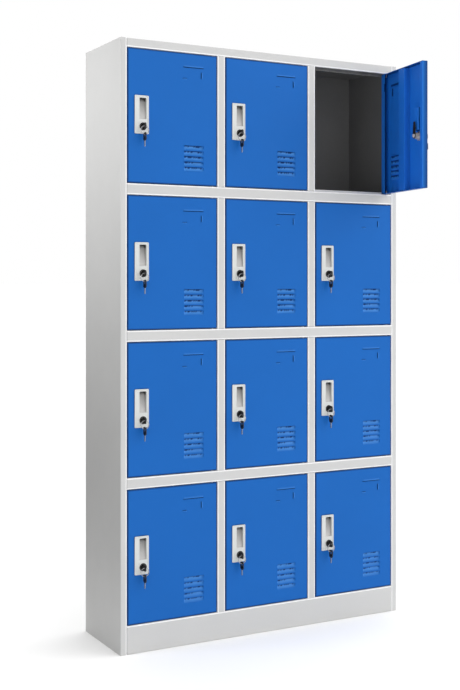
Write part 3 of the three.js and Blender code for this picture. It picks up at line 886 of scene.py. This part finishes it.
def handle_plate():
    """A moulded plate with a raised border, a finger recess that slopes forward, and the lock's boss."""
    build = Build()
    rim = rounded_rect(PLATE_X, PLATE_TOP - PLATE_HEIGHT / 2, PLATE_WIDTH, PLATE_HEIGHT, 3.0, 5)
    build.loft([level(offset(rim, -2.5), PLATE_BACK), level(rim, PLATE_BACK),
                *(level(offset(rim, -PLATE_ROUND * (1 - cos(t))),
                        PLATE_FRONT + PLATE_ROUND * (1 - sin(t))) for t in QUARTER),
                level(offset(rim, 0.7 - BORDER), PLATE_FRONT), level(offset(rim, -BORDER), GROUND)])
    mouth = divided(rounded_rect(LOCK_X, RECESS_Z, RECESS_WIDTH, RECESS_HEIGHT, 2.5), 5)
    lip = [level(offset(mouth, 1 - i / 4), GROUND - 0.5 * sin(pi * i / 4)) for i in range(5)]
    build.loft(lip + [[(x, recess_floor(z) - rise, z) for x, z in offset(mouth, -move)]
                      for rise, move in ((1.5, 0), (0.4, 0.5), (0, 1.5))])
    build.flat(offset(mouth, -1.5), [], lambda x, z: (x, recess_floor(z), z))
    bore = BARREL_RADIUS + 0.2
    boss = [(circle(LOCK_X, LOCK_Z, radius), y) for radius, y in (
        (14.2, GROUND), (13.6, GROUND - 0.9), (12.6, GROUND - 1.1), (bore, GROUND - 0.9), (bore, PLATE_BACK))]
    build.loft([level(*ring_line) for ring_line in boss])
    build.upright(offset(rim, -BORDER), [offset(mouth, 1), boss[0][0]], GROUND)
    cup = rounded_rect(LOCK_X, RECESS_Z, RECESS_WIDTH + 4, RECESS_HEIGHT + 4, 3)
    cup_back = FACE_Y + RECESS_DEPTH
    build.loft([level(cup, PLATE_BACK), level(cup, cup_back - 1), level(offset(cup, -1), cup_back)])
    build.upright(offset(cup, -1), [], cup_back)
    build.upright(offset(rim, -2.5), [cup, boss[-1][0]], PLATE_BACK)
    mesh = finished(build.mesh("plate", (0, -1, 0)), smooth_angle=30)
    # The recess faces take the darker plastic, painted shade, with more painted shade under its top edge.
    return painted_shade_marks(lined(mesh, in_recess), recess_painted_shade)


def in_recess(centre, _):
    x, y, z = centre
    return (abs(x - LOCK_X) < RECESS_WIDTH / 2 and abs(z - RECESS_Z) < RECESS_HEIGHT / 2
            and GROUND + 0.1 < y < recess_floor(z) + 0.1)


def recess_painted_shade(x, y, z):
    """Painted shade inside the recess, most of it under the top edge."""
    below = RECESS_TOP - z
    if y <= GROUND + 0.6:
        return 0.0
    return 1.0 if below < 8 else 0.5 * (1 - below / RECESS_HEIGHT)


# ---- lock and keys, drawn from the lock axis and the door's face ----
FRONT = -CLEARANCE - PLATE_THICKNESS
PLUG_RADIUS, PLUG_FRONT = 8.4, FRONT - 1.7
KEYWAY_DEPTH = 9
THREADS, THREAD_PITCH = 9, 14.0 / 9
BARREL_END = 16.5
CAM_Y = 22.0
HEAD_BASE = PLUG_FRONT - 1  # where the head of the key in the lock begins
HEAD_LENGTH, SPARE_HEAD_LENGTH = 20, 25
HOLE_INSET = 9  # ring hole from the head's outer end
RING_Y = HEAD_BASE - HEAD_LENGTH + HOLE_INSET
RING_RADIUS, RING_TURNS, RING_WIRE, RING_PITCH = 12.5, 1.85, 0.85, 1.75
SPARE_BASE = -2 * RING_RADIUS - 3.4 + HOLE_INSET - SPARE_HEAD_LENGTH  # lower end of the spare key's head
KEY_THICKNESS = 3.0
KEY_CUTS = (1.5, 0.8, 1.9)


def along_y(u, v, y):
    return (u, y, v)


def behind_plate(centre, _):
    return centre.y > 1


def lock_barrel():
    """The fixed barrel: a rim over the plate, a threaded body behind it, and its bore."""
    build = Build()
    body = BARREL_RADIUS - 0.2
    profile = [(8.8, BARREL_END), (8.8, PLUG_FRONT + 0.9), (9.3, PLUG_FRONT + 0.2), (10.2, PLUG_FRONT - 0.1),
               (11.6, PLUG_FRONT + 0.6), (11.9, FRONT + 0.1), (body, FRONT + 0.2)]
    for i in range(THREADS):
        y = 1.5 + i * THREAD_PITCH
        profile += [(body, y), (body - 0.7, y + THREAD_PITCH / 2)]
    profile += [(body - 0.4, BARREL_END - 0.5), (10.2, BARREL_END)]
    lathe(build, [*profile, profile[0]], along_y, 36)
    return lined(finished(build.mesh("barrel"), smooth_angle=30), behind_plate)


def lock_nut():
    build = Build()
    plate(build, circle(0, 0, 16.4, 6), [circle(0, 0, BARREL_RADIUS - 0.4, 30)], 4.5,
          lambda a, b, c: (a, 4.6 + c, b), edge=0.7)
    return finished(build.mesh("nut"))


def plug():
    """The turning plug, with its keyway."""
    build = Build()
    profile = [(PLUG_RADIUS - inset, PLUG_FRONT + deep) for inset, deep in (
        (2.6, 0), (2.4, 0.35), (1.9, 0.35), (1.7, 0), (0.6, 0), (0.15, 0.2), (0, 0.7))]
    profile += [(PLUG_RADIUS, CAM_Y - 1), (6.0, CAM_Y - 0.6), (6.0, CAM_Y)]
    rings = [(circle(0, 0, radius, 36), y) for radius, y in profile]
    build.loft([level(*ring_line) for ring_line in rings])
    keyway = rounded_rect(0, 0, 2.6, 9.6, 0.6, 3)
    build.upright(rings[0][0], [keyway], PLUG_FRONT)
    build.upright(rings[-1][0], [], CAM_Y)
    build.loft([level(keyway, y) for y in (PLUG_FRONT, PLUG_FRONT + KEYWAY_DEPTH)])
    build.upright(keyway, [], PLUG_FRONT + KEYWAY_DEPTH)
    return lined(finished(build.mesh("plug", (0, -1, 0)), smooth_angle=30), behind_plate)


def cam():
    build = Build()
    heel, tip, reach = 9.0, 6.0, 46
    lean = asin((heel - tip) / (reach - tip))
    outline = [(tip * cos(t), reach - tip + tip * sin(t))
               for t in (lean + (pi - 2 * lean) * i / 8 for i in range(9))]
    outline += [(heel * cos(t), heel * sin(t))
                for t in (pi - lean + (pi + 2 * lean) * i / 14 for i in range(15))]
    plate(build, outline, [], 2.0, lambda a, b, c: (a, CAM_Y + 1 + c, b), edge=0.4)
    return finished(build.mesh("cam"))


def cam_screw():
    build = Build()
    profile = ((0, 1), (4.6, 1), (4.6, 2.2), (7.4, 2.2), (7.4, 2.9), (5, 3), (5, 5.2), (4.3, 6), (0, 6.1))
    lathe(build, [(radius, CAM_Y + y) for radius, y in profile], along_y, 6)
    return finished(build.mesh("screw"), bevel=0.25)


def key_head(place, length):
    """A moulded head with a ring hole; a is along the key, away from its blade, and b across it."""
    build = Build()
    half = [(0, 4.4, 1.5), (3.0, 10.4, 3.5), (length, 9.8, 6.0)]
    corners = half + [(a, -b, r) for a, b, r in reversed(half)]
    outline = []
    for i, (a, b, radius) in enumerate(corners):
        here = Vector((a, b))
        sides = [Vector(corners[k % len(corners)][:2]) - here for k in (i - 1, i + 1)]
        reach = min(radius / tan(sides[0].angle(sides[1]) / 2), *(0.45 * side.length for side in sides))
        start, end = (here + side.normalized() * reach for side in sides)
        outline += [tuple(start * (1 - t) ** 2 + here * 2 * t * (1 - t) + end * t * t)
                    for t in (k / 5 for k in range(6))]
    outline.reverse()
    plate(build, outline, [circle(length - HOLE_INSET, 0, 4.3, 24)], KEY_THICKNESS, place, edge=0.8,
          dish=(1.6, 0.45))
    return finished(build.mesh("head"))


def key_blade(place, length, cuts):
    """The flat blade, its lower edge cut in steps; a runs from the head to the tip."""
    build = Build()
    half = 3.4
    outline = [(-3.0, half), (-3.0, -half)]
    for i, depth in enumerate(cuts):
        a = 3.0 + i * 3.6
        outline += [(a, -half), (a + 0.9, -half + depth), (a + 1.9, -half + depth), (a + 2.8, -half)]
    outline += [(length - 3.2, -half), (length, -0.6), (length, 0.8), (length - 2.6, half)]
    plate(build, outline, [], 1.7, place, edge=0.25)
    return finished(build.mesh("blade"))


def in_lock(way):
    """Puts a key in the lock, with its head (way -1) outward and its blade (way 1) inward."""
    return lambda a, b, c: (c, HEAD_BASE + way * a, b)


def hanging(way):
    """Hangs a key from the ring, with its head (way 1) up and its blade (way -1) down."""
    return lambda a, b, c: (c, RING_Y + b, SPARE_BASE + way * a)


def ring():
    """A split ring: nearly two turns of wire, wound flat."""
    build = Build()
    steps, sides = 88, 10
    loops = []
    for i in range(steps + 1):
        share = i / steps * RING_TURNS
        turn = radians(140) + RING_TURNS * tau * i / steps
        way = Vector((cos(turn), 0, sin(turn)))
        lift = RING_PITCH * (clamp((share - 0.75) / 0.35) - 0.5)
        centre = Vector((0, RING_Y + lift, -RING_RADIUS)) + way * RING_RADIUS
        loops.append([tuple(centre + way * u + Vector((0, v, 0))) for u, v in circle(0, 0, RING_WIRE, sides)])
    build.capped(loops)
    return finished(build.mesh("ring"), smooth_angle=50)


def hinge_pin(edge_z):
    """A pin through the lower or upper edge of the pan."""
    build = Build()
    z0, z1 = (-PIN_REACH, PIN_INSIDE) if not edge_z else (edge_z - PIN_INSIDE, edge_z + PIN_REACH)
    lathe(build, [(0, z0), (2.2, z0), (2.9, z0 + 0.8), (2.9, z1 - 0.5), (2.4, z1), (0, z1)], as_drawn, 20)
    return finished(build.mesh("pin"))


# name, mesh, materials, body, slot and any node it stands for
DOOR_PIECES = (
    ("pan", door_pan(), [door_paint, door_inside_painted_light], "door", "door_paint", "door"),
    ("stiffener", stiffener(), [door_inside_painted_light], "door", "door_paint"),
    ("hinge_pin_lower", hinge_pin(0), [steel], "door", "lock_metal"),
    ("hinge_pin_upper", hinge_pin(DOOR_HEIGHT), [steel], "door", "lock_metal"),
    ("grip_plate", handle_plate(), [plate_plastic, cup_plastic_painted_shade], "door", "handle_plate", "handle_plate"))
LOCK_PIECES = (
    ("lock_barrel", lock_barrel(), [lock_face, nut_metal], "door", "lock_metal"),
    ("lock_nut", lock_nut(), [nut_metal], "door", "lock_metal"),
    ("lock_plug", plug(), [lock_face, nut_metal], "lock", "lock_metal", "lock"),
    ("lock_cam", cam(), [black_steel], "lock", "lock_metal"),
    ("cam_screw", cam_screw(), [nut_metal], "lock", "lock_metal"),
    ("key_head", key_head(in_lock(-1), HEAD_LENGTH), [key_plastic], "lock", "key"),
    ("key_blade", key_blade(in_lock(1), 12, ()), [blade_metal], "lock", "lock_metal"),
    ("key_ring", ring(), [plated], "spare_key", "lock_metal"),
    ("spare_head", key_head(hanging(1), SPARE_HEAD_LENGTH), [key_plastic], "spare_key", "key", "spare_key"),
    ("spare_blade", key_blade(hanging(-1), 18, KEY_CUTS), [blade_metal], "spare_key", "lock_metal"))

for suffix in (f"_r{row}c{column}" for row in ROWS for column in COLUMNS):
    hinge = Vector(joints[f"door{suffix}_hinge"]["pos_m"])
    outward = joints[f"lock{suffix}_turn"]["axis"]
    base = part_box(f"door{suffix}")[0].z + PIN_REACH * MM
    at_door = (Matrix.Translation((hinge.x, hinge.y, base))
               @ Matrix.Rotation(atan2(outward[0], -outward[1]), 4, "Z"))
    at_lock = at_door @ Matrix.Translation(Vector((LOCK_X, FACE_Y, LOCK_Z)) * MM)
    for place, pieces in ((at_door, DOOR_PIECES), (at_lock, LOCK_PIECES)):
        for name, mesh, materials, body, slot, *nodes in pieces:
            piece(name + suffix, mesh, materials, body + suffix,
                  [node + suffix for node in nodes], place)


# ---- stage: floor, light and camera ----
WHITE = (1, 1, 1, 1)
FLOOR_REACH = 600.0
DULL_LEFT_OF, DULL_BEHIND = -0.95, -0.30  # where the floor throws little light back, in metres
DOME_SLOPE, DOME_LEVEL, DOME_LEAST = (1.0, -0.26, 0.78), 0.64, 0.05


def floor():
    mesh = bpy.data.meshes.new("floor")
    mesh.from_pydata([(x * FLOOR_REACH, y * FLOOR_REACH, 0) for x, y in ((-1, -1), (1, -1), (1, 1), (-1, 1))],
                     [], [(0, 1, 2, 3)])
    mesh.materials.append(pale_floor())
    added("floor", mesh)


def pale_floor():
    """Pale wherever it is seen; left of the cabinet it throws little light back on the side panel."""
    material, tree, shader = new_material("pale_floor", {
        "Base Color": (0.93, 0.93, 0.93, 1), "Roughness": 0.9, "Specular IOR Level": 0.1,
        "Emission Color": WHITE, "Emission Strength": 0.03})
    place = add_node(tree, "TexCoord").outputs["Object"]
    parts = add_node(tree, "SeparateXYZ", {0: place}).outputs
    region = maths(tree, "MULTIPLY", maths(tree, "LESS_THAN", parts["X"], DULL_LEFT_OF),
                   maths(tree, "GREATER_THAN", parts["Y"], DULL_BEHIND))
    seen = add_node(tree, "LightPath").outputs["Is Camera Ray"]
    unseen = maths(tree, "SUBTRACT", region, seen, use_clamp=True)
    dull = add_node(tree, "BsdfDiffuse", {"Color": (0.01, 0.01, 0.01, 1)}).outputs[0]
    surface = add_node(tree, "MixShader", {0: unseen, 1: shader.outputs[0], 2: dull}).outputs[0]
    tree.links.new(surface, tree.nodes["Material Output"].inputs["Surface"])
    return material


def dome():
    """Even light, stronger from the right, the front and above; the camera sees plain white."""
    world = bpy.data.worlds.new("studio")
    scene.world = world
    world.use_nodes = True
    tree = world.node_tree
    tree.nodes.clear()
    direction = add_node(tree, "TexCoord").outputs["Generated"]
    slope = add_node(tree, "VectorMath", {0: direction, 1: DOME_SLOPE},
                     operation="DOT_PRODUCT").outputs["Value"]
    strength = maths(tree, "MAXIMUM", maths(tree, "ADD", slope, DOME_LEVEL), DOME_LEAST)
    light = add_node(tree, "Background", {"Color": WHITE, "Strength": strength}).outputs[0]
    white = add_node(tree, "Background", {"Color": WHITE}).outputs[0]
    seen = add_node(tree, "LightPath").outputs["Is Camera Ray"]
    surface = add_node(tree, "MixShader", {0: seen, 1: light, 2: white}).outputs[0]
    add_node(tree, "OutputWorld", {"Surface": surface})


def lamp(name, place, target, size, energy):
    """A square soft lamp that faces its target."""
    data = bpy.data.lights.new(name, "AREA")
    data.size, data.energy = size, energy
    holder = added(name, data)
    holder.location = place
    holder.rotation_euler = (Vector(target) - Vector(place)).to_track_quat("-Z", "Y").to_euler()


def camera():
    data = bpy.data.cameras.new("camera")
    data.lens = 62.45
    data.shift_x, data.shift_y = -0.1, -0.0906
    holder = added("camera", data)
    holder.location = (-1.834, -3.370, 1.116)
    holder.rotation_euler = (radians(90), 0, radians(-30.15))
    bpy.context.scene.camera = holder


floor()
dome()
lamp("upper_left", (-1.6, 0.30, 1.75), (0, 0.30, 1.75), 0.5, 12)
lamp("upper_right", (1.6, -1.2, 2.2), (0.2, 0, 1.3), 1.0, 5)
camera()
scene.view_settings.view_transform = "Standard"
